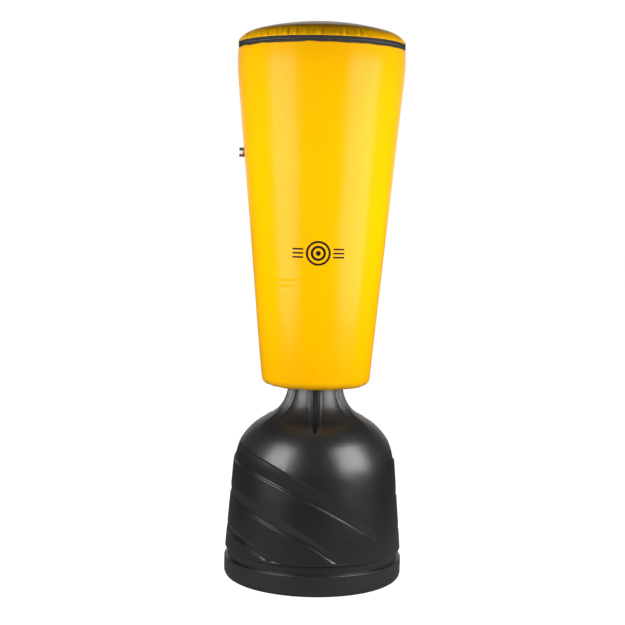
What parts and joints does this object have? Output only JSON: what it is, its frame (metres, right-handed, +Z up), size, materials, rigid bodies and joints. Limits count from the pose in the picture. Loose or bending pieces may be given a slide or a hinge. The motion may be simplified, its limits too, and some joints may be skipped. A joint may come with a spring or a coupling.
{
  "type": "free-standing punching bag",
  "caption": "Tapered vinyl-covered foam bag with a zip-on domed lid, on a sprung rubber neck mount in a fillable bell-shaped base.",
  "frame": {"origin": "centre of the base's underside, on the floor", "axes": "+Z up along the bag, -Y towards the front, +X to the right seen from the front"},
  "size_m": [0.549, 0.549, 1.7],
  "materials": {
    "black_hdpe": "satin",
    "ballast": "gloss",
    "black_rubber": "matte",
    "brass_insert": "satin",
    "plate_steel": "satin",
    "fastener_steel": "satin",
    "core_plastic": "satin",
    "grey_foam": "matte",
    "yellow_vinyl": "gloss",
    "zip_fabric": "matte",
    "tag_fabric": "satin",
    "zip_nylon": "satin",
    "zip_metal": "satin"
  },
  "bodies": {
    "base": {"base_tank": "black_hdpe", "water_ballast": "ballast", "neck_inserts": "brass_insert", "lower_mount_plate": "plate_steel", "lower_washers": "fastener_steel", "lower_plate_bolts": "fastener_steel"},
    "buffer": {"rubber_buffer": "black_rubber"},
    "bag": {"upper_mount_plate": "plate_steel", "upper_washers": "fastener_steel", "upper_plate_bolts": "fastener_steel", "nut_washers": "fastener_steel", "upper_plate_nuts": "fastener_steel", "core_flange": "core_plastic", "core_tube": "core_plastic", "core_screws": "fastener_steel", "core_cap": "core_plastic", "foam_skirt": "grey_foam", "foam_sleeve": "grey_foam", "foam_top_plug": "grey_foam", "foam_crown": "grey_foam", "cover_sleeve": "yellow_vinyl", "cover_base_ring": "yellow_vinyl", "lid_hinge_tab": "zip_fabric", "side_tag": "tag_fabric", "zip_tape_lower": "zip_fabric", "zip_coil_lower": "zip_nylon", "zip_stops": "zip_metal"},
    "lid": {"cover_lid": "yellow_vinyl", "zip_tape_upper": "zip_fabric", "zip_coil_upper": "zip_nylon"},
    "zip_slider": {"zip_slider": "zip_metal"},
    "zip_pull": {"zip_pull": "zip_metal"},
    "cap_seal": {"filler_gasket": "black_rubber"},
    "filler_cap": {"filler_cap": "black_hdpe"}
  },
  "joints": [
    {"name": "sway_side", "type": "hinge", "parent": "base", "child": "buffer", "pos_m": [0, 0, 0.676], "axis": [0, 1, 0], "range_deg": [-12, 12], "stiffness_Nm_per_rad": 900, "deforming": ["rubber_buffer"]},
    {"name": "sway_fore_aft", "type": "hinge", "parent": "buffer", "child": "bag", "pos_m": [0, 0, 0.676], "axis": [1, 0, 0], "range_deg": [-12, 12], "stiffness_Nm_per_rad": 900, "deforming": ["rubber_buffer"]},
    {"name": "lid_open", "type": "hinge", "parent": "bag", "child": "lid", "pos_m": [0, 0.2535, 1.6325], "axis": [-1, 0, 0], "range_deg": [0, 100], "deforming": ["lid_hinge_tab"]},
    {"name": "zip_travel", "type": "hinge", "parent": "bag", "child": "zip_slider", "pos_m": [0, 0, 1.625], "axis": [0, 0, -1], "range_deg": [0, 332]},
    {"name": "pull_flap", "type": "hinge", "parent": "zip_slider", "child": "zip_pull", "pos_m": [0.06227, 0.24975, 1.625], "axis": [0, 0, -1], "range_deg": [0, 170]},
    {"name": "cap_lift", "type": "slide", "parent": "base", "child": "cap_seal", "axis": [0.2485, 0.4304, 0.8678], "range_m": [0, 0.024]},
    {"name": "cap_turn", "type": "hinge", "parent": "cap_seal", "child": "filler_cap", "pos_m": [0.08399, 0.14547, 0.49868], "axis": [0.2485, 0.4304, 0.8678], "range_deg": [0, 1440]}
  ],
  "couplings": [
    {"joint": "cap_turn", "follows": "cap_lift", "rad_per_m": 1047.2}
  ]
}
